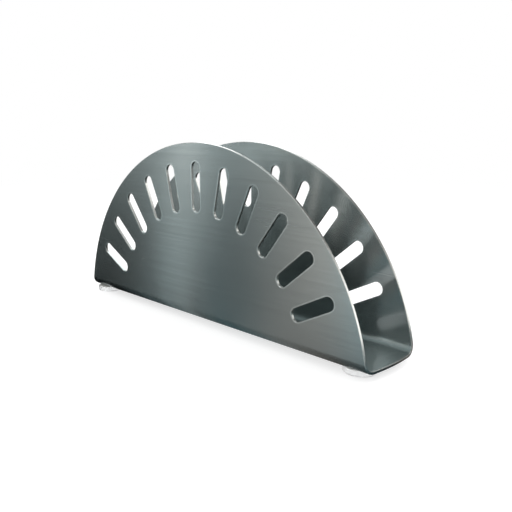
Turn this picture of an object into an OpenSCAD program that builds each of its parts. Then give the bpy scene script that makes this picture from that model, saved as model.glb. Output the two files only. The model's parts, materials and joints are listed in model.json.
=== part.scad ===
// Napkin holder: one round sheet with two fans of slots, folded into a U on four stick-on feet.
// Lengths are in millimetres. X runs along the holder, Y across it towards the back, and Z is up.
// The origin is the middle of the footprint, on the surface that the feet stand on.

/* [Sheet] */
// Radius of the round blank before it is folded
disc_r = 90; // [80:1:120]
// Thickness of the sheet
sheet_t = 1.2; // [0.8:0.1:2]
// Width of the holder across the outer faces of its walls
holder_w = 31.4; // [30:0.2:50]
// Inner radius of the two folds
fold_inner_r = 3.3; // [1.5:0.1:4]

/* [Slots] */
// Number of slots in the fan of each wall
slot_count = 11; // [3:2:11]
// Angle between neighbouring slots
slot_pitch_angle = 12.65; // [10:0.05:13]
// Width of a slot between its straight sides
slot_w = 5.4; // [4:0.1:7]
// Length of a slot between its round ends
slot_len = 21.4; // [14:0.1:26]
// Sheet left between the rim and the outer end of the middle slot
slot_rim_margin = 7.9; // [5:0.1:12]
// Depth of the point that the slots radiate from, below the centre of the disc
fan_drop = 1.1; // [0:0.1:2]

/* [Feet] */
// Diameter of a foot
foot_d = 12.7; // [9:0.1:13]
// Height of a foot without its adhesive
foot_h = 2.3; // [1.5:0.1:5]
// Radius of the rounded edge where a foot meets the table
foot_edge_r = 0.7; // [0.3:0.1:1.2]
// Gap between the front and back foot of a pair
foot_gap = 0.9; // [0.4:0.1:4]
// Distance along the holder from the disc's right end to the right pair of feet
right_foot_setback = 3.15; // [2:0.05:25]
// Distance along the holder from the disc's left end to the left pair of feet
left_foot_setback = 1.45; // [1.2:0.05:25]
// How far the left pair, which is stuck on by hand, sits towards the front
left_pair_shift = 2.4; // [0:0.1:2.5]

/* [Adhesive] */
// Thickness of the adhesive disc on a foot
adhesive_t = 0.2; // [0.1:0.05:0.5]
// Step from the edge of a foot in to the edge of its adhesive
adhesive_inset = 0.4; // [0.2:0.1:1.5]

/* [Hidden] */
// A circle has this many sides on screen and is a true curve in the solid
$fn = 96;
// How far a cut runs past the material that it goes through
overrun = 2;
// Depth of the line in the sheet that keeps its length in a fold, as a share of the thickness
neutral_share = 0.44;

// Height of the sheet's underside above the table
stand_z = foot_h + adhesive_t;
// Radius of a fold on the outside of the sheet and on its neutral line
fold_outer_r = fold_inner_r + sheet_t;
fold_neutral_r = fold_inner_r + neutral_share * sheet_t;
// Half the width of the flat floor between the folds
floor_half_w = holder_w / 2 - fold_outer_r;
// Sheet that one fold takes up, measured along its neutral line
fold_arc = fold_neutral_r * PI / 2;
// Height of the disc's centre in the plane of each wall, counted back round the fold
wall_centre_z = stand_z + fold_outer_r - floor_half_w - fold_arc;
// Height of the rim at the top of a wall
holder_h = wall_centre_z + disc_r;
// Half the width of the zone where the rim of the floor is cut
floor_zone_half_w = floor_half_w + fold_outer_r * sin(45);

// The fan of slots, measured from the point that they radiate from
fan_z = wall_centre_z - fan_drop;
slot_outer_end = disc_r + fan_drop - slot_rim_margin;
slot_inner_end = slot_outer_end - slot_len;

// Place of each foot: front and back, on the right and on the left
foot_names = ["foot_front_right", "foot_back_right", "foot_front_left", "foot_back_left"];
adhesive_names = [for (name = foot_names) str("adhesive_", name)];
foot_spacing = foot_d + foot_gap;
right_x = disc_r - right_foot_setback - foot_d / 2;
left_x = left_foot_setback + foot_d / 2 - disc_r;
foot_places = [
    [right_x, -foot_spacing / 2],
    [right_x, foot_spacing / 2],
    [left_x, -foot_spacing / 2 - left_pair_shift],
    [left_x, foot_spacing / 2 - left_pair_shift]
];
corners = [0 : len(foot_places) - 1];

// Filled cross-section of an open trough with rounded lower corners
module trough(width, corner_r, floor_z) {
    for (side = [-1, 1])
        translate([side * (width / 2 - corner_r), floor_z + corner_r])
            circle(r = corner_r);
    translate([corner_r - width / 2, floor_z])
        square([width - 2 * corner_r, 2 * corner_r]);
    translate([-width / 2, floor_z + corner_r])
        square([width, holder_h + overrun - floor_z - corner_r]);
}

// The sheet's U section, run along X past both ends of the disc
module folded_strip() {
    rotate([90, 0, 90])
        linear_extrude(height = 2 * (disc_r + overrun), center = true)
            difference() {
                trough(holder_w, fold_outer_r, stand_z);
                trough(holder_w - 2 * sheet_t, fold_inner_r, stand_z + sheet_t);
            }
}

// Everything inside the disc's rim, where the disc lies flat in the floor
module floor_rim() {
    cylinder(r = disc_r, h = holder_h + overrun);
}

// Everything inside the disc's rim, where the disc stands up in the walls, and the whole floor
module wall_rim() {
    translate([0, 0, wall_centre_z])
        rotate([90, 0, 0])
            cylinder(r = disc_r, h = holder_w + 2 * overrun, center = true);
    translate([-disc_r - overrun, -floor_zone_half_w, 0])
        cube([2 * (disc_r + overrun), 2 * floor_zone_half_w, stand_z + 2 * fold_outer_r]);
}

// Outline of a slot that points up from the origin
module slot_outline() {
    for (end = [slot_inner_end + slot_w / 2, slot_outer_end - slot_w / 2])
        translate([0, end])
            circle(d = slot_w);
    translate([-slot_w / 2, slot_inner_end + slot_w / 2])
        square([slot_w, slot_len - slot_w]);
}

// The fan of slots, cut through both walls in one go
module slot_fan() {
    for (index = [0 : slot_count - 1])
        translate([0, 0, fan_z])
            rotate([90, (index - (slot_count - 1) / 2) * slot_pitch_angle, 0])
                linear_extrude(height = holder_w + 2 * overrun, center = true)
                    slot_outline();
}

module folded_sheet() {
    color("slategray")
        difference() {
            intersection() {
                folded_strip();
                floor_rim();
                wall_rim();
            }
            slot_fan();
        }
}

// A round bumper with a flat top and a rounded edge underneath
module foot(corner) {
    color("gainsboro")
        translate([foot_places[corner].x, foot_places[corner].y, 0])
            rotate_extrude() {
                square([foot_d / 2 - foot_edge_r, foot_h]);
                translate([0, foot_edge_r])
                    square([foot_d / 2, foot_h - foot_edge_r]);
                translate([foot_d / 2 - foot_edge_r, foot_edge_r])
                    circle(r = foot_edge_r);
            }
}

// The thin disc that bonds a foot to the underside of the sheet
module adhesive(corner) {
    color("whitesmoke")
        translate([foot_places[corner].x, foot_places[corner].y, foot_h])
            cylinder(d = foot_d - 2 * adhesive_inset, h = adhesive_t);
}

folded_sheet();
for (corner = corners) {
    foot(corner);
    adhesive(corner);
}
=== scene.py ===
"""Looks of a napkin holder: a slotted round sheet of satin steel, folded into a U, on four clear feet.

Lengths are in metres and angles in radians, unless a name or a comment says otherwise. X runs along the
holder, Y across it towards the back wall, and Z is up. Colours are linear, and a shade is a span of what
a colour is multiplied by.
"""

import json
import logging
import math
from collections.abc import Callable, Iterable, Mapping
from dataclasses import dataclass, field
from enum import Enum

import bmesh
import bpy
import numpy as np
from mathutils import Matrix, Vector


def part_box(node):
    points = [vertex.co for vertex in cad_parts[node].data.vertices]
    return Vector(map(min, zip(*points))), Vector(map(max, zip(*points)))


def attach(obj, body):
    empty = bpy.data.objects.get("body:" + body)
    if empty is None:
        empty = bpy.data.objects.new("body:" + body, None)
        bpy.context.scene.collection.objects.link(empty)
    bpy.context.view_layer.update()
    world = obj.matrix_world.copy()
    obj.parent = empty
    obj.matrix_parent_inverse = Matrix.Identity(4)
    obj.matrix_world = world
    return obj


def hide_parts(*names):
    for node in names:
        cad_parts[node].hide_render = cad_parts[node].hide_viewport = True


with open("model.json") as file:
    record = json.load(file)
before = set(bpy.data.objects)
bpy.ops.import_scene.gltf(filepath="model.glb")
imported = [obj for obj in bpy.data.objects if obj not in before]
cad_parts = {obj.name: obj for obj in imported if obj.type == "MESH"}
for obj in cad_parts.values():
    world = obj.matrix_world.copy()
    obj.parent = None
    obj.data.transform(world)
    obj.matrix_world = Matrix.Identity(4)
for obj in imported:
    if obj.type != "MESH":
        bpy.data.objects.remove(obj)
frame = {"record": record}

MM = 0.001
ROOT_BODY = "root"
# X and Y of the place where the front wall mirrors the camera
MIRRORED_CAMERA = (196.4 * MM, 144.7 * MM)
# A noise texture mostly stays between these values
USUAL_NOISE = (0.25, 0.75)
# Size of a grain off a flat map, where it has no effect
OFF_MAP = 1.0
# Least length that is divided by
TINY = 1e-9
# Keeps a count that is rounded down, or compared, clear of rounding errors
HALF_STEP = 0.5
LOG = logging.getLogger("napkin_holder")

# A node's output
Socket = bpy.types.NodeSocket
# What can feed a node's input
Feed = float | int | tuple[float, ...] | Socket | bpy.types.ID
# Gives a point of an outline from its number along it and its distance inside the sheet
PointRule = Callable[[Feed, Feed], tuple[Feed, Feed]]
# Values at a noise's usual least and most
Span = tuple[float, float]
# A colour, a place, or sizes along three axes
Triple = tuple[float, float, float]


class RecordSlot(Enum):
    """The record's material slots."""

    STEEL = "satin_steel"
    BUMPER = "clear_bumper"
    ADHESIVE = "adhesive_film"


class Corner(Enum):
    """The four places of the feet, each with the end of its nodes' names."""

    FRONT_RIGHT = "foot_front_right"
    BACK_RIGHT = "foot_back_right"
    FRONT_LEFT = "foot_front_left"
    BACK_LEFT = "foot_back_left"


class MeshLayer(Enum):
    """Names of the data that a mesh carries for its finish."""

    GRAIN_UV = "grain"
    # Lighter margins by the cut edges: partly polish from deburring, partly a painted highlight
    EDGE_POLISH_AND_HIGHLIGHT = "edge_wear"
    TONE = "tone"


def put_in_scene(name: str, data: bpy.types.ID) -> bpy.types.Object:
    """Adds an object to the scene.

    Args:
        name: Its name.
        data: Its mesh, camera or lamp.

    Returns:
        The new object.
    """
    added = bpy.data.objects.new(name, data)
    bpy.context.scene.collection.objects.link(added)
    return added


class Graph:
    """Adds nodes to one node tree, each with its inputs set or linked as it is made."""

    def __init__(self, tree: bpy.types.NodeTree) -> None:
        """Keeps the tree that the nodes go into."""
        self.tree = tree

    def add(
        self, kind: str, inputs: Mapping[str | int, Feed] | None = None, **settings: object,
    ) -> bpy.types.Node:
        """Adds one node.

        Args:
            kind: Blender's type name of the node.
            inputs: For each input, by name or number, its value or the output that feeds it.
            **settings: Values of the node's own properties.

        Returns:
            The new node.
        """
        node = self.tree.nodes.new(kind)
        for name, value in settings.items():
            setattr(node, name, value)
        self.fill(node, inputs or {})
        return node

    def fill(self, node: bpy.types.Node, inputs: Mapping[str | int, Feed]) -> None:
        """Sets or links inputs of a node.

        Args:
            node: The node.
            inputs: For each input, by name or number, its value or the output that feeds it.
        """
        for key, value in inputs.items():
            if isinstance(value, Socket):
                self.tree.links.new(value, node.inputs[key])
            else:
                node.inputs[key].default_value = value

    def math(self, operation: str, *terms: Feed) -> Socket:
        """Adds a Math node.

        Args:
            operation: Blender's name of the operation.
            *terms: Its terms in order, each a number or the output that feeds it.

        Returns:
            The node's result.
        """
        return self.add("ShaderNodeMath", dict(enumerate(terms)), operation=operation).outputs[0]

    def vector(self, x: Feed = 0.0, y: Feed = 0.0, z: Feed = 0.0) -> Socket:
        """Adds a Combine XYZ node.

        Args:
            x: First component.
            y: Second component.
            z: Third component.

        Returns:
            The vector.
        """
        return self.add("ShaderNodeCombineXYZ", {"X": x, "Y": y, "Z": z}).outputs[0]


class ShaderGraph(Graph):
    """The nodes of one material, around a Principled shader."""

    def __init__(self, name: str) -> None:
        """Makes an empty material.

        Args:
            name: The material's name.
        """
        self.material = bpy.data.materials.new(name)
        self.material.use_nodes = True
        super().__init__(self.material.node_tree)
        self.tree.nodes.clear()
        self.shader = self.add("ShaderNodeBsdfPrincipled")
        self.output = self.add("ShaderNodeOutputMaterial", {"Surface": self.shader.outputs[0]})

    def set(self, inputs: Mapping[str, Feed]) -> None:
        """Sets or links inputs of the Principled shader, by name."""
        self.fill(self.shader, inputs)

    def object_place(self) -> Socket:
        """Returns the coordinates that stay with the object."""
        return self.add("ShaderNodeTexCoord").outputs["Object"]

    def noise(self, place: Feed, stretch: Triple, detail: float = 2.0) -> Socket:
        """Adds a noise whose grains have a real size.

        Args:
            place: Coordinates in metres.
            stretch: Size of a grain along each coordinate, in metres.
            detail: Number of finer layers.

        Returns:
            The noise, about 0.5 on average.
        """
        scale = tuple(1.0 / size for size in stretch)
        mapped = self.add("ShaderNodeMapping", {"Vector": place, "Scale": scale}).outputs[0]
        inputs = {"Vector": mapped, "Scale": 1.0, "Detail": detail}
        return self.add("ShaderNodeTexNoise", inputs).outputs[0]

    def spread(self, value: Feed, span: Span) -> Socket:
        """Maps a noise onto a span.

        Args:
            value: The noise.
            span: Results at the noise's usual least and most.

        Returns:
            The mapped value.
        """
        inputs = {
            "Value": value, "From Min": USUAL_NOISE[0], "From Max": USUAL_NOISE[1],
            "To Min": span[0], "To Max": span[1],
        }
        return self.add("ShaderNodeMapRange", inputs, clamp=False).outputs[0]

    def tint(self, colour: Triple, share: Feed) -> Socket:
        """Scales a colour by a varying share.

        Args:
            colour: Linear colour.
            share: What the colour is multiplied by.

        Returns:
            The scaled colour.
        """
        scaled = self.add("ShaderNodeVectorMath", {0: colour, "Scale": share}, operation="SCALE")
        return scaled.outputs[0]

    def bump(self, height: Feed, depth: float) -> Socket:
        """Makes a height map stand out of the surface.

        Args:
            height: The height map.
            depth: How far a height of 1 stands out.

        Returns:
            The bent normal.
        """
        inputs = {"Height": height, "Distance": depth, "Strength": 1.0}
        return self.add("ShaderNodeBump", inputs).outputs[0]


@dataclass(frozen=True)
class SatinSteel:
    """Stainless sheet with a satin finish, brushed along X.

    A scratch and a streak have a length along the brushing and a width across it. Roughness falls over
    its span as a streak grows lighter, and a gloss is a span of what the rest adds to it.
    """

    colour: Triple = (0.374, 0.402, 0.4)
    anisotropy: float = 0.97
    scratch: tuple[float, float] = (60.0 * MM, 0.12 * MM)
    scratch_shade: Span = (0.965, 1.035)
    scratch_gloss: Span = (-0.012, 0.012)
    scratch_depth: float = 0.0003 * MM
    streak: tuple[float, float] = (140.0 * MM, 1.4 * MM)
    streak_shade: Span = (0.92, 1.08)
    streak_roughness: Span = (0.265, 0.235)
    smudge: float = 26.0 * MM
    smudge_gloss: Span = (-0.015, 0.015)
    wave: float = 38.0 * MM
    wave_depth: float = 0.004 * MM
    # How much lighter the margins by the cut edges are: partly polish from deburring, partly a painted
    # highlight
    polish_and_highlight_gain: float = 0.55

    def material(self) -> bpy.types.Material:
        """Makes the finish.

        Returns:
            The material, which reads the sheet's grain map and its margins' polish and painted
            highlight.
        """
        graph = ShaderGraph("satin_steel")
        grain = graph.add("ShaderNodeUVMap", uv_map=MeshLayer.GRAIN_UV.value).outputs[0]
        polish_and_highlight = graph.add("ShaderNodeAttribute", attribute_name=MeshLayer.EDGE_POLISH_AND_HIGHLIGHT.value).outputs["Fac"]
        scratches = graph.noise(grain, (self.scratch[1], self.scratch[0], OFF_MAP), detail=1.0)
        streaks = graph.noise(grain, (self.streak[1], self.streak[0], OFF_MAP), detail=2.0)
        smudges = graph.noise(grain, (self.smudge, self.smudge, OFF_MAP), detail=3.0)
        waves = graph.noise(grain, (self.wave, self.wave, OFF_MAP), detail=0.0)
        fine_shade = graph.spread(scratches, self.scratch_shade)
        brushed_shade = graph.math("MULTIPLY", fine_shade, graph.spread(streaks, self.streak_shade))
        # Lightens the margins by the cut edges: partly polish from deburring, partly a painted highlight
        shade = graph.math("MULTIPLY_ADD", polish_and_highlight, self.polish_and_highlight_gain, brushed_shade)
        fine_gloss = graph.spread(scratches, self.scratch_gloss)
        gloss = graph.math("ADD", fine_gloss, graph.spread(smudges, self.smudge_gloss))
        roughness = graph.math("ADD", gloss, graph.spread(streaks, self.streak_roughness))
        wavy = graph.math("MULTIPLY", waves, self.wave_depth)
        relief = graph.math("MULTIPLY_ADD", scratches, self.scratch_depth, wavy)
        along = graph.add("ShaderNodeTangent", direction_type="UV_MAP", uv_map=MeshLayer.GRAIN_UV.value)
        graph.set({
            "Base Color": graph.tint(self.colour, shade), "Metallic": 1.0, "Roughness": roughness,
            "Anisotropic": self.anisotropy, "Tangent": along.outputs[0],
            "Normal": graph.bump(relief, depth=1.0),
        })
        return graph.material


@dataclass(frozen=True)
class CutEdge:
    """The sheet's cut and deburred edge: brighter bare steel with fine marks across the thickness."""

    colour: Triple = (0.5, 0.5, 0.49)
    shade: Span = (0.9, 1.08)
    roughness: Span = (0.14, 0.3)
    mark_width: float = 0.16 * MM
    mark_length: float = 0.64 * MM
    mark_depth: float = 0.004 * MM
    pit: float = 0.7 * MM

    def material(self) -> bpy.types.Material:
        """Makes the finish.

        Returns:
            The material, which reads Object coordinates.
        """
        graph = ShaderGraph("cut_steel_edge")
        place = graph.object_place()
        marks = graph.noise(place, (self.mark_width, self.mark_length, self.mark_width))
        pits = graph.noise(place, (self.pit,) * 3)
        graph.set({
            "Base Color": graph.tint(self.colour, graph.spread(pits, self.shade)), "Metallic": 1.0,
            "Roughness": graph.spread(marks, self.roughness),
            "Normal": graph.bump(marks, self.mark_depth),
        })
        return graph.material


@dataclass(frozen=True)
class ClearBumper:
    """Cloudy clear urethane of the stick-on feet."""

    colour: Triple = (0.95, 0.96, 0.96)
    shade: Span = (0.96, 1.02)
    roughness: Span = (0.27, 0.4)
    transmission: float = 0.7
    refraction: float = 1.46
    cloud: float = 3.0 * MM
    dust: float = 0.25 * MM
    dust_depth: float = 0.004 * MM

    def material(self) -> bpy.types.Material:
        """Makes the finish.

        Returns:
            The material, which reads Object coordinates.
        """
        graph = ShaderGraph("clear_bumper")
        place = graph.object_place()
        clouds = graph.noise(place, (self.cloud,) * 3, detail=3.0)
        dust = graph.noise(place, (self.dust,) * 3)
        graph.set({
            "Base Color": graph.tint(self.colour, graph.spread(clouds, self.shade)),
            "Roughness": graph.spread(dust, self.roughness), "IOR": self.refraction,
            "Transmission Weight": self.transmission, "Normal": graph.bump(dust, self.dust_depth),
        })
        return graph.material


@dataclass(frozen=True)
class AdhesiveFilm:
    """Milky film of adhesive on top of each foot."""

    colour: Triple = (0.84, 0.84, 0.81)
    shade: Span = (0.93, 1.03)
    roughness: Span = (0.4, 0.6)
    bubble: float = 0.5 * MM
    bubble_depth: float = 0.01 * MM

    def material(self) -> bpy.types.Material:
        """Makes the finish.

        Returns:
            The material, which reads Object coordinates.
        """
        graph = ShaderGraph("adhesive_film")
        bubbles = graph.noise(graph.object_place(), (self.bubble,) * 3, detail=3.0)
        graph.set({
            "Base Color": graph.tint(self.colour, graph.spread(bubbles, self.shade)),
            "Roughness": graph.spread(bubbles, self.roughness),
            "Normal": graph.bump(bubbles, self.bubble_depth),
        })
        return graph.material


@dataclass(frozen=True)
class SlotFan:
    """The fan of slots that is cut in each wall.

    Each slot points away from a centre that lies a little below the disc's own.
    """

    count: int = 11
    pitch: float = math.radians(12.65)
    width: float = 5.4 * MM
    length: float = 21.4 * MM
    rim_margin: float = 7.9 * MM
    drop: float = 1.1 * MM
    end_points: int = 20


@dataclass(frozen=True)
class CutProfile:
    """How the sheet's edge is cut and deburred, from one face's lighter margin to the other's."""

    rounding: float = 0.15 * MM
    margin: float = 0.8 * MM
    steps: int = 3


class BlankTree:
    """The geometry nodes of the flat blank: two faces, and the cut edges of the rim and the slots."""

    # Names of its inputs, besides the finish
    FLOATS = (
        "Disc Radius", "Thickness", "Rounding", "Margin", "Slot Pitch", "Slot Width", "Slot Length",
        "Slot Middle", "Fan Drop",
    )
    COUNTS = ("Rim Points", "Edge Steps", "Slot Count", "End Points")
    # How much polish and painted highlight the margins of the two kinds of edge carry, up to 1
    RIM_POLISH_AND_HIGHLIGHT = 0.2
    SLOT_POLISH_AND_HIGHLIGHT = 1.0

    def __init__(self) -> None:
        """Builds the tree."""
        self.tree = bpy.data.node_groups.new("slotted_blank", "GeometryNodeTree")
        self.graph = Graph(self.tree)
        self.identifiers: dict[str, str] = {}
        self._declare(self.FLOATS, "NodeSocketFloat")
        self._declare(self.COUNTS, "NodeSocketInt")
        self._declare(("Finish",), "NodeSocketMaterial")
        self.tree.interface.new_socket(name="Blank", in_out="OUTPUT", socket_type="NodeSocketGeometry")
        self.inputs = self.graph.add("NodeGroupInput").outputs
        self.slot_points = self.graph.math("MULTIPLY", self.inputs["End Points"], 2.0)
        joined = self.graph.add("GeometryNodeJoinGeometry")
        for part in (*self._faces(), *self._edges()):
            self.tree.links.new(part, joined.inputs[0])
        real = self.graph.add("GeometryNodeRealizeInstances", {0: joined.outputs[0]})
        dressed = {0: real.outputs[0], "Material": self.inputs["Finish"]}
        finished = self.graph.add("GeometryNodeSetMaterial", dressed)
        self.graph.add("NodeGroupOutput", {0: finished.outputs[0]})

    def _declare(self, names: Iterable[str], kind: str) -> None:
        """Adds named inputs to the tree.

        Args:
            names: The inputs' names.
            kind: Blender's type name of their sockets.
        """
        for name in names:
            item = self.tree.interface.new_socket(name=name, in_out="INPUT", socket_type=kind)
            self.identifiers[name] = item.identifier

    def _rim_point(self, index: Feed, inset: Feed) -> tuple[Feed, Feed]:
        """Gives a point of the rim.

        Args:
            index: The point's number along the rim.
            inset: How far it lies inside the sheet.

        Returns:
            Its X and Y.
        """
        make = self.graph.math
        angle = make("MULTIPLY", index, make("DIVIDE", math.tau, self.inputs["Rim Points"]))
        radius = make("SUBTRACT", self.inputs["Disc Radius"], inset)
        x = make("MULTIPLY", make("COSINE", angle), radius)
        y = make("MULTIPLY", make("SINE", angle), radius)
        return x, y

    def _slot_point(self, index: Feed, inset: Feed) -> tuple[Feed, Feed]:
        """Gives a point of an upright slot round the origin.

        Args:
            index: The point's number along the slot's edge.
            inset: How far it lies inside the sheet, outside the slot.

        Returns:
            Its X and Y.
        """
        make = self.graph.math
        ends = self.inputs["End Points"]
        lower = make("FLOOR", make("DIVIDE", index, ends))
        share = make("DIVIDE", make("MODULO", index, ends), make("SUBTRACT", ends, 1.0))
        angle = make("MULTIPLY", make("ADD", share, lower), math.pi)
        radius = make("MULTIPLY_ADD", self.inputs["Slot Width"], 0.5, inset)
        straight = make("SUBTRACT", self.inputs["Slot Length"], self.inputs["Slot Width"])
        lift = make("MULTIPLY", make("SUBTRACT", 0.5, lower), straight)
        x = make("MULTIPLY", make("COSINE", angle), radius)
        y = make("MULTIPLY_ADD", make("SINE", angle), radius, lift)
        return x, y

    def _outline(self, point_of: PointRule, points: Feed) -> Socket:
        """Makes the closed line along which a lighter margin ends on a face.

        Args:
            point_of: The method that gives a point of the rim or of a slot.
            points: Number of points.

        Returns:
            The curve.
        """
        index = self.graph.add("GeometryNodeInputIndex").outputs[0]
        circle = self.graph.add("GeometryNodeCurvePrimitiveCircle", {"Resolution": points})
        x, y = point_of(index, self.inputs["Margin"])
        placed = {"Geometry": circle.outputs[0], "Position": self.graph.vector(x, y)}
        return self.graph.add("GeometryNodeSetPosition", placed).outputs[0]

    def _cut_edge(self, point_of: PointRule, points: Feed, polish_and_highlight: float) -> Socket:
        """Makes a closed strip round a cut edge, from one face's lighter margin to the other's.

        Args:
            point_of: The method that gives a point of the rim or of a slot.
            points: Number of points along the edge.
            polish_and_highlight: How much polish and painted highlight the edge's margins carry, up to
                1.

        Returns:
            The strip, whose points carry the polish and painted highlight of the margins.
        """
        make = self.graph.math
        face_rows = make("ADD", self.inputs["Edge Steps"], 2.0)
        rows = make("MULTIPLY", face_rows, 2.0)
        columns = make("ADD", points, 1.0)
        sides = {"Vertices X": rows, "Vertices Y": columns}
        grid = self.graph.add("GeometryNodeMeshGrid", sides).outputs[0]
        index = self.graph.add("GeometryNodeInputIndex").outputs[0]
        row = make("FLOOR", make("DIVIDE", make("ADD", index, HALF_STEP), columns))
        column = make("MODULO", make("SUBTRACT", index, make("MULTIPLY", row, columns)), points)
        inset, height, polished_and_highlit = self._edge_section(row, face_rows)
        x, y = point_of(column, inset)
        placed = {"Geometry": grid, "Position": self.graph.vector(x, y, height)}
        strip = self.graph.add("GeometryNodeSetPosition", placed).outputs[0]
        stored = {
            "Geometry": strip, "Name": MeshLayer.EDGE_POLISH_AND_HIGHLIGHT.value, "Value": make("MULTIPLY", polished_and_highlit, polish_and_highlight),
        }
        return self.graph.add("GeometryNodeStoreNamedAttribute", stored, data_type="FLOAT").outputs[0]

    def _edge_section(self, row: Feed, face_rows: Feed) -> tuple[Feed, Feed, Feed]:
        """Follows a cut edge's section over one rounded corner, the cut and the other rounded corner.

        Args:
            row: The point's number along the section.
            face_rows: Number of points on one half: the margin's edge and the rounded corner.

        Returns:
            How far the point lies inside the sheet, its height, and 1 if it carries the polish and
            painted highlight or 0 if not.
        """
        make = self.graph.math
        upper = make("FLOOR", make("DIVIDE", make("ADD", row, HALF_STEP), face_rows))
        last = make("SUBTRACT", make("MULTIPLY", face_rows, 2.0), 1.0)
        mirrored = make("SUBTRACT", last, row)
        step = make("SUBTRACT", make("MINIMUM", row, mirrored), 1.0)
        polished_and_highlit = make("GREATER_THAN", step, -HALF_STEP)
        quarter = make("MULTIPLY", make("MAXIMUM", step, 0.0), math.pi / 2.0)
        angle = make("DIVIDE", quarter, self.inputs["Edge Steps"])
        rounding = self.inputs["Rounding"]
        rounded = make("MULTIPLY", make("SUBTRACT", 1.0, make("SINE", angle)), rounding)
        flat = make("MULTIPLY", make("SUBTRACT", 1.0, polished_and_highlit), self.inputs["Margin"])
        inset = make("MULTIPLY_ADD", rounded, polished_and_highlit, flat)
        depth = make("MULTIPLY", make("SUBTRACT", 1.0, make("COSINE", angle)), rounding)
        across = make("SUBTRACT", self.inputs["Thickness"], make("MULTIPLY", depth, 2.0))
        height = make("MULTIPLY_ADD", across, upper, depth)
        return inset, height, polished_and_highlit

    def _fan(self, part: Socket) -> Socket:
        """Repeats a part of an upright slot at every slot of both walls.

        Args:
            part: The part, round the origin.

        Returns:
            Its instances.
        """
        make = self.graph.math
        count = self.inputs["Slot Count"]
        index = self.graph.add("GeometryNodeInputIndex").outputs[0]
        points = self.graph.add("GeometryNodePoints", {"Count": make("MULTIPLY", count, 2.0)}).outputs[0]
        back = make("FLOOR", make("DIVIDE", index, count))
        side = make("MULTIPLY_ADD", back, 2.0, -1.0)
        middle = make("MULTIPLY", make("SUBTRACT", count, 1.0), 0.5)
        from_middle = make("SUBTRACT", make("MODULO", index, count), middle)
        angle = make("MULTIPLY", from_middle, self.inputs["Slot Pitch"])
        reach = self.inputs["Slot Middle"]
        x = make("MULTIPLY", make("SINE", angle), reach)
        fan_centre = make("MULTIPLY", self.inputs["Fan Drop"], -1.0)
        y = make("MULTIPLY", make("MULTIPLY_ADD", make("COSINE", angle), reach, fan_centre), side)
        place = {"Geometry": points, "Position": self.graph.vector(x, y)}
        placed = self.graph.add("GeometryNodeSetPosition", place).outputs[0]
        turn = self.graph.vector(0.0, 0.0, make("MULTIPLY", make("MULTIPLY", angle, side), -1.0))
        inputs = {"Points": placed, "Instance": part, "Rotation": turn}
        return self.graph.add("GeometryNodeInstanceOnPoints", inputs).outputs[0]

    def _faces(self) -> tuple[Socket, ...]:
        """Makes the blank's faces.

        Returns:
            The lower and the upper face, each inside the lighter margins.
        """
        rim = self._outline(self._rim_point, self.inputs["Rim Points"])
        slots = self._fan(self._outline(self._slot_point, self.slot_points))
        outlines = self.graph.add("GeometryNodeJoinGeometry")
        for outline in (rim, slots):
            self.tree.links.new(outline, outlines.inputs[0])
        real = self.graph.add("GeometryNodeRealizeInstances", {0: outlines.outputs[0]}).outputs[0]
        lower = self.graph.add("GeometryNodeFillCurve", {"Curve": real}).outputs[0]
        lift = {"Geometry": lower, "Translation": self.graph.vector(0.0, 0.0, self.inputs["Thickness"])}
        upper = self.graph.add("GeometryNodeTransform", lift).outputs[0]
        return lower, upper

    def _edges(self) -> tuple[Socket, ...]:
        """Makes the blank's cut edges.

        Returns:
            Those of the rim and those of the slots.
        """
        rim = self._cut_edge(self._rim_point, self.inputs["Rim Points"], self.RIM_POLISH_AND_HIGHLIGHT)
        slot = self._cut_edge(self._slot_point, self.slot_points, self.SLOT_POLISH_AND_HIGHLIGHT)
        return rim, self._fan(slot)

    def make(self, name: str, values: Mapping[str, object]) -> bpy.types.Mesh:
        """Runs the tree once.

        Args:
            name: Name of the mesh.
            values: For each of the tree's inputs, by name, its value.

        Returns:
            The blank as a plain mesh.
        """
        carrier = put_in_scene(name, bpy.data.meshes.new(f"{name}_carrier"))
        modifier = carrier.modifiers.new("slotted_blank", "NODES")
        modifier.node_group = self.tree
        for input_name, value in values.items():
            modifier[self.identifiers[input_name]] = value
        evaluated = carrier.evaluated_get(bpy.context.evaluated_depsgraph_get())
        mesh = bpy.data.meshes.new_from_object(evaluated)
        carrier.modifiers.remove(modifier)
        bpy.data.objects.remove(carrier)
        mesh.name = name
        finishes = [material for material in mesh.materials if material]
        mesh.materials.clear()
        for material in finishes:
            mesh.materials.append(material)
        return mesh


def shown_piece(name: str, mesh: bpy.types.Mesh, node: str, slot: RecordSlot) -> bpy.types.Object:
    """Puts a finished mesh in the scene in place of a CAD node.

    Args:
        name: The piece's name.
        mesh: Its mesh, in place.
        node: The CAD node that it stands for.
        slot: The record's slot for its finish. It is not used.

    Returns:
        The new object.
    """
    piece = put_in_scene(name, mesh)
    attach(piece, ROOT_BODY)
    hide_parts(node)
    return piece


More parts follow.
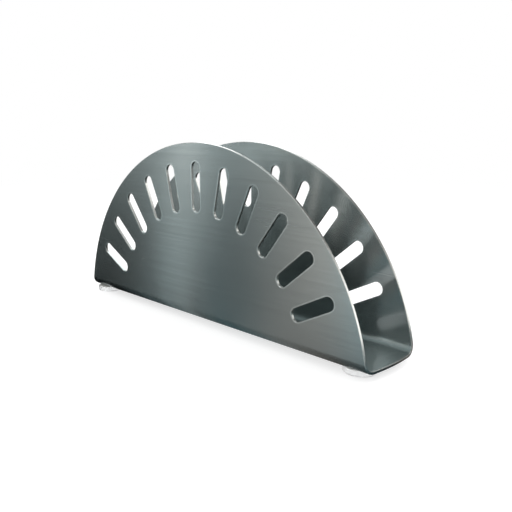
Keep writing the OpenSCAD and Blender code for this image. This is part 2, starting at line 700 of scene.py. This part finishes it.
@dataclass
class FoldedSheet:
    """The round sheet with a fan of slots in each wall, folded along two lines into a U."""

    NODE = "folded_sheet"
    FLOOR_MOUNT = "napkin_floor"
    MERGE_GAP = 0.0005 * MM

    fan: SlotFan = field(default_factory=SlotFan)
    cut: CutProfile = field(default_factory=CutProfile)
    fold_inner_radius: float = 3.3 * MM
    neutral_share: float = 0.44
    rim_points: int = 720
    fold_steps: int = 16
    # Shift of the grain map on one face, so that the two faces have streaks of their own
    inner_grain_shift: float = 0.5
    disc_radius: float = field(init=False)
    stand_height: float = field(init=False)
    thickness: float = field(init=False)
    fold_outer_radius: float = field(init=False)
    fold_neutral_radius: float = field(init=False)
    floor_half_width: float = field(init=False)
    fold_arc: float = field(init=False)

    def __post_init__(self) -> None:
        """Takes the sheet's outer sizes from the frame and works out the fold's."""
        low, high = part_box(self.NODE)
        floors = [mount for mount in frame["record"]["mounts"] if mount["name"] == self.FLOOR_MOUNT]
        self.disc_radius = (high.x - low.x) / 2.0
        self.stand_height = low.z
        self.thickness = floors[0]["pos_m"][2] - low.z
        self.fold_outer_radius = self.fold_inner_radius + self.thickness
        self.fold_neutral_radius = self.fold_inner_radius + self.neutral_share * self.thickness
        self.floor_half_width = (high.y - low.y) / 2.0 - self.fold_outer_radius
        self.fold_arc = self.fold_neutral_radius * math.pi / 2.0

    def build(self) -> bpy.types.Object:
        """Builds and dresses the sheet.

        Returns:
            The sheet's object.
        """
        mesh = self._blank()
        self._crease(mesh)
        self._fold(mesh)
        return shown_piece("satin_sheet", mesh, self.NODE, RecordSlot.STEEL)

    def _blank(self) -> bpy.types.Mesh:
        """Makes the flat blank.

        Returns:
            Its mesh, with both finishes in its material slots.
        """
        fan = self.fan
        slot_middle = self.disc_radius + fan.drop - fan.rim_margin - fan.length / 2.0
        mesh = BlankTree().make("satin_sheet", {
            "Disc Radius": self.disc_radius, "Thickness": self.thickness, "Rounding": self.cut.rounding,
            "Margin": self.cut.margin, "Slot Pitch": fan.pitch, "Slot Width": fan.width,
            "Slot Length": fan.length, "Slot Middle": slot_middle, "Fan Drop": fan.drop,
            "Rim Points": self.rim_points, "Edge Steps": self.cut.steps, "Slot Count": fan.count,
            "End Points": fan.end_points, "Finish": SatinSteel().material(),
        })
        mesh.materials.append(CutEdge().material())
        return mesh

    def _crease(self, mesh: bpy.types.Mesh) -> None:
        """Closes the blank's seams and splits its faces along the lines where it will bend.

        Args:
            mesh: The flat blank, changed in place.
        """
        blank = bmesh.new()
        blank.from_mesh(mesh)
        bmesh.ops.remove_doubles(blank, verts=blank.verts, dist=self.MERGE_GAP)
        bmesh.ops.recalc_face_normals(blank, faces=blank.faces)
        for side in (-1.0, 1.0):
            for step in range(self.fold_steps + 1):
                line = self.floor_half_width + self.fold_arc * step / self.fold_steps
                everything = blank.verts[:] + blank.edges[:] + blank.faces[:]
                bmesh.ops.bisect_plane(
                    blank, geom=everything, dist=self.MERGE_GAP,
                    plane_co=(0.0, side * line, 0.0), plane_no=(0.0, 1.0, 0.0),
                )
        blank.to_mesh(mesh)
        blank.free()

    def _fold(self, mesh: bpy.types.Mesh) -> None:
        """Bends the creased blank, with its grain map, finishes and exact normals.

        Args:
            mesh: The flat, closed blank, changed in place.
        """
        flat = np.empty(len(mesh.vertices) * 3)
        mesh.vertices.foreach_get("co", flat)
        flat = flat.reshape(-1, 3)
        normals = self._flat_normals(mesh, flat)
        self._map_grain(mesh, flat)
        side = np.sign(flat[:, 1])
        reach = np.abs(flat[:, 1])
        past_floor = reach - self.floor_half_width
        turned = np.clip(past_floor / self.fold_neutral_radius, 0.0, math.pi / 2.0)
        rise = np.maximum(past_floor - self.fold_arc, 0.0)
        radius = self.fold_outer_radius - flat[:, 2]
        sine, cosine = np.sin(turned), np.cos(turned)
        bent = np.column_stack((
            flat[:, 0],
            side * (np.minimum(reach, self.floor_half_width) + radius * sine),
            self.stand_height + self.fold_outer_radius - radius * cosine + rise,
        ))
        bent_normals = np.column_stack((
            normals[:, 0],
            normals[:, 1] * cosine - side * normals[:, 2] * sine,
            side * normals[:, 1] * sine + normals[:, 2] * cosine,
        ))
        mesh.vertices.foreach_set("co", bent.ravel())
        mesh.update()
        mesh.shade_smooth()
        mesh.normals_split_custom_set_from_vertices(bent_normals)

    def _flat_normals(self, mesh: bpy.types.Mesh, flat: np.ndarray) -> np.ndarray:
        """Works out the blank's true normals, which turn with the rounded corners of its edge.

        Args:
            mesh: The flat blank.
            flat: Its points, one a row.

        Returns:
            A unit normal for each point.
        """
        facing = np.empty(len(mesh.vertices) * 3)
        mesh.vertex_normals.foreach_get("vector", facing)
        facing = facing.reshape(-1, 3)
        sideways = np.maximum(np.linalg.norm(facing[:, :2], axis=1), TINY)
        outward = facing[:, :2] / sideways[:, None]
        below = 1.0 - flat[:, 2] / self.cut.rounding
        above = 1.0 - (self.thickness - flat[:, 2]) / self.cut.rounding
        upright = np.clip(above, 0.0, 1.0) - np.clip(below, 0.0, 1.0)
        level = np.sqrt(1.0 - upright**2)
        return np.column_stack((outward * level[:, None], upright))

    def _map_grain(self, mesh: bpy.types.Mesh, flat: np.ndarray) -> None:
        """Maps the grain in metres, U across it and V along it, and gives the cut faces their finish.

        Args:
            mesh: The flat blank, changed in place.
            flat: Its points, one a row.
        """
        corners = np.empty(len(mesh.loops), dtype=np.int64)
        mesh.loops.foreach_get("vertex_index", corners)
        starts = np.empty(len(mesh.polygons), dtype=np.int64)
        mesh.polygons.foreach_get("loop_start", starts)
        heights = np.add.reduceat(flat[corners, 2], starts)
        counts = np.diff(np.append(starts, len(corners)))
        middle = heights / counts
        tolerance = self.MERGE_GAP
        is_cut = (middle > tolerance) & (middle < self.thickness - tolerance)
        mesh.polygons.foreach_set("material_index", is_cut.astype(np.int32))
        shift = np.repeat(middle > self.thickness / 2.0, counts) * self.inner_grain_shift
        grain = np.column_stack((flat[corners, 1] + shift, flat[corners, 0]))
        layer = mesh.uv_layers.new(name=MeshLayer.GRAIN_UV.value)
        layer.data.foreach_set("uv", grain.ravel())


@dataclass
class StickOnFoot:
    """One clear bumper and the adhesive film that bonds it to the sheet."""

    corner: Corner
    edge_radius: float = 0.7 * MM
    top_radius: float = 0.15 * MM
    film_edge_radius: float = 0.05 * MM
    turns: int = 96
    corner_steps: int = 6
    sharp_angle: float = math.radians(40.0)

    def build(
        self, bumper_finish: bpy.types.Material, film_finish: bpy.types.Material,
    ) -> list[bpy.types.Object]:
        """Builds and dresses the bumper and its film.

        Args:
            bumper_finish: Material of the bumper.
            film_finish: Material of the film.

        Returns:
            The two objects.
        """
        bumper = self._lathe(self.corner.value, self.edge_radius, self.top_radius, bumper_finish)
        film_node = f"adhesive_{self.corner.value}"
        film = self._lathe(film_node, self.film_edge_radius, self.film_edge_radius, film_finish)
        place = self.corner.value.removeprefix("foot_")
        return [
            shown_piece(f"bumper_{place}", bumper, self.corner.value, RecordSlot.BUMPER),
            shown_piece(f"film_{place}", film, film_node, RecordSlot.ADHESIVE),
        ]

    def _profile(
        self, radius: float, height: float, lower: float, upper: float,
    ) -> list[tuple[float, float]]:
        """Draws half of the section, from the middle of the underside to the middle of the top.

        Args:
            radius: Outer radius.
            height: Height.
            lower: Radius of the rounded edge underneath.
            upper: Radius of the rounded edge on top.

        Returns:
            Its points, as distances from the axis and heights.
        """
        points = [(0.0, 0.0)]
        for centre_height, rounding, start in ((lower, lower, -90.0), (height - upper, upper, 0.0)):
            for step in range(self.corner_steps + 1):
                angle = math.radians(start + 90.0 * step / self.corner_steps)
                across = radius - rounding + rounding * math.cos(angle)
                points.append((across, centre_height + rounding * math.sin(angle)))
        return [*points, (0.0, height)]

    def _lathe(
        self, node: str, lower: float, upper: float, finish: bpy.types.Material,
    ) -> bpy.types.Mesh:
        """Turns a round piece that fills a node's box.

        Args:
            node: The CAD node.
            lower: Radius of its rounded edge underneath.
            upper: Radius of its rounded edge on top.
            finish: Its material.

        Returns:
            The closed mesh, in place.
        """
        low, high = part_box(node)
        middle = Vector(((low.x + high.x) / 2.0, (low.y + high.y) / 2.0, low.z))
        profile = self._profile((high.x - low.x) / 2.0, high.z - low.z, lower, upper)
        turned = bmesh.new()
        rings = []
        for across, height in profile:
            start = Vector((across, 0.0, height))
            count = self.turns if across else 1
            spins = [Matrix.Rotation(math.tau * turn / count, 3, "Z") for turn in range(count)]
            rings.append([turned.verts.new(middle + spin @ start) for spin in spins])
        for inner, outer in zip(rings, rings[1:]):
            for turn in range(self.turns):
                after = turn + 1
                corners = [
                    inner[turn % len(inner)], inner[after % len(inner)],
                    outer[after % len(outer)], outer[turn % len(outer)],
                ]
                turned.faces.new(list(dict.fromkeys(corners)))
        bmesh.ops.recalc_face_normals(turned, faces=turned.faces)
        mesh = bpy.data.meshes.new(node)
        turned.to_mesh(mesh)
        turned.free()
        mesh.shade_smooth()
        mesh.set_sharp_from_angle(angle=self.sharp_angle)
        mesh.materials.append(finish)
        return mesh


@dataclass(frozen=True)
class PhotoCamera:
    """The camera at the photograph's viewing angle.

    The frame is square, so the field of view is the same both ways. Sensor and lens are in millimetres.
    """

    azimuth: float = math.radians(44.978)
    elevation: float = math.radians(11.89)
    roll: float = math.radians(0.147)
    distance: float = 254.362 * MM
    target: Triple = (20.504 * MM, 0.0, 32.284 * MM)
    sensor: float = 36.0
    lens: float = 41.872
    near_clip: float = 10.0 * MM

    def build(self) -> None:
        """Adds the camera and makes it the scene's."""
        data = bpy.data.cameras.new("photo_camera")
        data.sensor_width = self.sensor
        data.lens = self.lens
        data.clip_start = self.near_clip
        back = Vector((
            math.sin(self.azimuth) * math.cos(self.elevation),
            -math.cos(self.azimuth) * math.cos(self.elevation),
            math.sin(self.elevation),
        ))
        camera = put_in_scene("photo_camera", data)
        turn = (-back).to_track_quat("-Z", "Y").to_matrix().to_4x4()
        place = Matrix.Translation(Vector(self.target) + back * self.distance)
        camera.matrix_world = place @ turn @ Matrix.Rotation(self.roll, 4, "Z")
        bpy.context.scene.camera = camera


@dataclass(frozen=True)
class Softbox:
    """A soft area lamp that points at the holder, with its power in watts."""

    name: str
    place: Triple
    size: tuple[float, float]
    power: float
    aim: Triple = (0.0, 0.0, 35.0 * MM)

    def build(self) -> None:
        """Adds the lamp."""
        data = bpy.data.lights.new(self.name, "AREA")
        data.shape = "RECTANGLE"
        data.size, data.size_y = self.size
        data.energy = self.power
        lamp = put_in_scene(self.name, data)
        direction = Vector(self.aim) - Vector(self.place)
        lamp.location = self.place
        lamp.rotation_euler = direction.to_track_quat("-Z", "Y").to_euler()
        lamp.visible_camera = False


class Zone(Enum):
    """A zone of the surround: its field in Tone, and the share that it takes of the redness."""

    NEAR_FLOOR = ("near_floor", 1.0)
    FAR_FLOOR = ("far_floor", 1.0)
    LOW = ("low", 0.4)
    HIGH = ("high", 0.2)
    TOP = ("top", 0.5)


@dataclass(frozen=True)
class Tone:
    """How light the surround is in one direction, from the floor by the holder up to the canopy.

    The direction is an angle in degrees from -Y towards -X. A tone of 1 is as light as the white
    background. A redness of about 1 is neutral, and a lower one is cooler.
    """

    direction: float
    near_floor: float
    far_floor: float
    low: float
    high: float
    top: float
    redness: float


@dataclass(frozen=True)
class GradedSurround:
    """The graded floor mat, backdrop and canopy that show in reflections alone, like a studio's flags.

    All run round the place where the front wall mirrors the camera, so that each direction there shows
    as one upright streak on that wall. Their tone changes smoothly from one direction to the next. The
    tones began as a least-squares fit of test renders to the photograph, and were then corrected.
    """

    tones: tuple[Tone, ...] = (
        Tone(0.0, 0.9, 1.2, 0.4, 1.3, 0.4, 0.95),
        Tone(21.0, 0.9, 1.2, 0.6, 1.5, 0.8, 0.95),
        Tone(33.0, 0.05, 0.8, 1.8, 2.0, 1.0, 0.5),
        Tone(38.0, 0.1, 0.6, 1.5, 2.0, 1.2, 1.1),
        Tone(43.0, 0.27, 0.15, 1.1, 2.1, 1.6, 0.98),
        Tone(48.5, 0.16, 0.01, 0.9, 0.9, 0.8, 0.55),
        Tone(51.0, 0.08, 0.35, 1.05, 0.2, 0.8, 0.85),
        Tone(53.0, 0.15, 0.85, 1.35, 0.02, 0.6, 0.87),
        Tone(55.0, 0.2, 0.04, 1.1, 0.02, 0.3, 0.74),
        Tone(58.0, 0.01, 0.01, 0.8, 0.01, 0.2, 0.75),
        Tone(61.0, 0.01, 0.01, 0.65, 0.01, 0.2, 0.7),
        Tone(95.0, 0.01, 0.01, 0.8, 0.05, 1.1, 0.65),
        Tone(125.0, 0.3, 0.4, 1.6, 0.3, 3.0, 0.65),
        Tone(165.0, 0.3, 0.4, 1.1, 0.25, 0.2, 0.9),
        Tone(205.0, 0.3, 0.4, 1.2, 0.25, 0.2, 0.95),
        Tone(213.0, 0.3, 1.5, 2.4, 2.4, 1.8, 0.95),
        Tone(232.0, 0.3, 1.5, 2.4, 2.4, 1.8, 0.95),
        Tone(240.0, 0.3, 0.3, 0.2, 0.3, 0.8, 0.9),
        Tone(290.0, 0.4, 0.5, 0.6, 0.5, 0.6, 0.9),
        Tone(325.0, 0.3, 0.4, 1.1, 0.2, 0.5, 0.9),
        Tone(360.0, 0.9, 1.2, 0.4, 1.3, 0.4, 0.95),
    )
    near_radius: float = 0.2
    middle_radius: float = 0.42
    far_radius: float = 2.0
    mat_height: float = 0.1 * MM
    low_height: float = 0.3
    high_height: float = 0.8
    top_height: float = 1.4
    canopy_radius: float = 1.4
    canopy_height: float = 1.8
    peak_height: float = 2.1
    columns: int = 240
    # Blueness of a tone without redness, and how much of it goes as redness grows by 1
    most_blue: float = 1.3
    blue_fall: float = 1.0 / 3.0

    def build(self) -> None:
        """Adds the mat, and the backdrop with its canopy."""
        near, middle, far = self.near_radius, self.middle_radius, self.far_radius
        self._card("floor_mat", (
            (0.0, self.mat_height, Zone.NEAR_FLOOR), (near, self.mat_height, Zone.NEAR_FLOOR),
            (middle, self.mat_height, Zone.FAR_FLOOR), (far, self.mat_height, Zone.FAR_FLOOR),
        ))
        self._card("backdrop", (
            (far, self.mat_height, Zone.LOW), (far, self.low_height, Zone.LOW),
            (far, self.high_height, Zone.HIGH), (far, self.top_height, Zone.HIGH),
            (self.canopy_radius, self.canopy_height, Zone.TOP), (0.0, self.peak_height, Zone.TOP),
        ))

    def _card(self, name: str, rings: tuple[tuple[float, float, Zone], ...]) -> None:
        """Adds one graded card.

        Args:
            name: The card's name.
            rings: For each ring of its points, the radius, the height and the zone that it is in.
        """
        turns = np.linspace(0.0, 360.0, self.columns + 1)
        angles = np.radians(turns)
        points = []
        for radius, height, _ in rings:
            x = MIRRORED_CAMERA[0] - radius * np.sin(angles)
            y = MIRRORED_CAMERA[1] - radius * np.cos(angles)
            points.append(np.column_stack((x, y, np.full_like(x, height))))
        row = len(turns)
        last = row * (len(rings) - 1)
        starts = [start for start in range(last) if (start + 1) % row]
        faces = [(start, start + 1, start + row + 1, start + row) for start in starts]
        mesh = bpy.data.meshes.new(name)
        mesh.from_pydata(np.concatenate(points).tolist(), [], faces)
        layer = mesh.color_attributes.new(MeshLayer.TONE.value, "FLOAT_COLOR", "POINT")
        colours = np.concatenate([self._colours(zone, turns) for _, _, zone in rings])
        layer.data.foreach_set("color", colours.ravel())
        mesh.materials.append(self._glow(name))
        self._reflected_only(put_in_scene(name, mesh))

    def _colours(self, zone: Zone, turns: np.ndarray) -> np.ndarray:
        """Works out the colours of one ring of a card.

        Args:
            zone: The zone that the ring is in.
            turns: The directions of its points, in degrees.

        Returns:
            A linear colour for each point.
        """
        tone_field, tint_share = zone.value
        stops = [tone.direction for tone in self.tones]
        levels = np.interp(turns, stops, [getattr(tone, tone_field) for tone in self.tones])
        full_redness = np.interp(turns, stops, [tone.redness for tone in self.tones])
        redness = 1.0 - (1.0 - full_redness) * tint_share
        blueness = self.most_blue - redness * self.blue_fall
        return np.column_stack((levels * redness, levels, levels * blueness, np.ones_like(levels)))

    @staticmethod
    def _glow(name: str) -> bpy.types.Material:
        """Makes a card's finish.

        Args:
            name: The material's name.

        Returns:
            The material, which glows with the card's tones.
        """
        graph = ShaderGraph(name)
        tone = graph.add("ShaderNodeAttribute", attribute_name=MeshLayer.TONE.value).outputs["Color"]
        glow = graph.add("ShaderNodeEmission", {"Color": tone})
        graph.tree.links.new(glow.outputs[0], graph.output.inputs["Surface"])
        return graph.material

    @staticmethod
    def _reflected_only(card: bpy.types.Object) -> None:
        """Args:
            card: The card.
        """
        for ray in ("camera", "diffuse", "transmission", "volume_scatter", "shadow"):
            setattr(card, f"visible_{ray}", False)


@dataclass
class Studio:
    """The pale floor, the white surroundings, the soft lamps and the graded surround.

    A level of 1 is white. The floor's own glow gives all but lit_level of it, and the holder's shadow
    fades out between the two distances of shadow_reach.
    """

    floor_size: float = 24.0
    floor_colour: float = 0.55
    floor_roughness: float = 0.9
    lit_level: float = 0.32
    shadow_reach: tuple[float, float] = (0.25, 0.8)
    world_level: float = 0.9
    lamps: tuple[Softbox, ...] = (
        Softbox("key_softbox", (-0.15, 0.4, 1.35), (0.9, 0.9), 1.6),
        Softbox("band_softbox", (-0.957, -0.76, 0.46), (0.04, 0.7), 0.3),
        Softbox("slot_softbox", (-0.56, -1.05, 0.235), (0.04, 0.06), 0.45),
        Softbox("back_softbox", (-0.74, 1.0, 0.3), (0.7, 0.7), 3.8),
    )
    surround: GradedSurround = field(default_factory=GradedSurround)

    def build(self) -> None:
        """Builds the surroundings."""
        self._world()
        self._floor()
        self.surround.build()
        for lamp in self.lamps:
            lamp.build()

    @staticmethod
    def _shown_directly(graph: Graph) -> Socket:
        """Tells rays that show the surroundings from those that only light them.

        Args:
            graph: The nodes to add to.

        Returns:
            1 for camera, glossy and transmission rays, and 0 for the rest.
        """
        path = graph.add("ShaderNodeLightPath").outputs
        seen = graph.math("MAXIMUM", path["Is Camera Ray"], path["Is Glossy Ray"])
        return graph.math("MAXIMUM", seen, path["Is Transmission Ray"])

    def _world(self) -> None:
        """Makes the world white where it shows, and of a plain level as a light."""
        world = bpy.data.worlds.new("studio")
        bpy.context.scene.world = world
        world.use_nodes = True
        graph = Graph(world.node_tree)
        graph.tree.nodes.clear()
        seen = self._shown_directly(graph)
        strength = graph.math("MULTIPLY_ADD", seen, 1.0 - self.world_level, self.world_level)
        light = graph.add("ShaderNodeBackground", {"Color": (1.0, 1.0, 1.0, 1.0), "Strength": strength})
        graph.add("ShaderNodeOutputWorld", {"Surface": light.outputs[0]})

    def _floor(self) -> None:
        """Makes the floor, which shows as white and keeps the holder's soft shadow."""
        half = self.floor_size / 2.0
        mesh = bpy.data.meshes.new("studio_floor")
        corners = [(-half, -half, 0.0), (half, -half, 0.0), (half, half, 0.0), (-half, half, 0.0)]
        mesh.from_pydata(corners, [], [tuple(range(len(corners)))])
        floor = put_in_scene("studio_floor", mesh)
        graph = ShaderGraph("studio_floor")
        graph.set({
            "Base Color": (self.floor_colour,) * 3 + (1.0,), "Roughness": self.floor_roughness,
            "Specular IOR Level": 0.0,
        })
        seen = self._shown_directly(graph)
        top_up = graph.math("MULTIPLY", seen, 1.0 - self.lit_level)
        glow = graph.add("ShaderNodeEmission", {"Strength": top_up}).outputs[0]
        near = graph.add("ShaderNodeAddShader", {0: graph.shader.outputs[0], 1: glow}).outputs[0]
        white = graph.add("ShaderNodeEmission", {"Strength": 1.0}).outputs[0]
        place = graph.object_place()
        distance = graph.add("ShaderNodeVectorMath", {0: place}, operation="LENGTH").outputs["Value"]
        reach = {"Value": distance, "From Min": self.shadow_reach[0], "From Max": self.shadow_reach[1]}
        far = graph.add("ShaderNodeMapRange", reach, interpolation_type="SMOOTHSTEP").outputs[0]
        share = graph.math("MULTIPLY", far, seen)
        mixed = graph.add("ShaderNodeMixShader", {0: share, 1: near, 2: white})
        graph.tree.links.new(mixed.outputs[0], graph.output.inputs["Surface"])
        mesh.materials.append(graph.material)


def main() -> None:
    """Builds the napkin holder, its studio and its camera, and reports each piece."""
    logging.basicConfig(level=logging.INFO, format="%(name)s: %(message)s")
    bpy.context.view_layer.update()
    bpy.context.scene.view_settings.view_transform = "Standard"
    PhotoCamera().build()
    Studio().build()
    pieces = [FoldedSheet().build()]
    bumper_finish = ClearBumper().material()
    film_finish = AdhesiveFilm().material()
    for corner in Corner:
        pieces += StickOnFoot(corner).build(bumper_finish, film_finish)
    for piece in pieces:
        LOG.info("%s: %d faces", piece.name, len(piece.data.polygons))


if __name__ == "__main__":
    main()
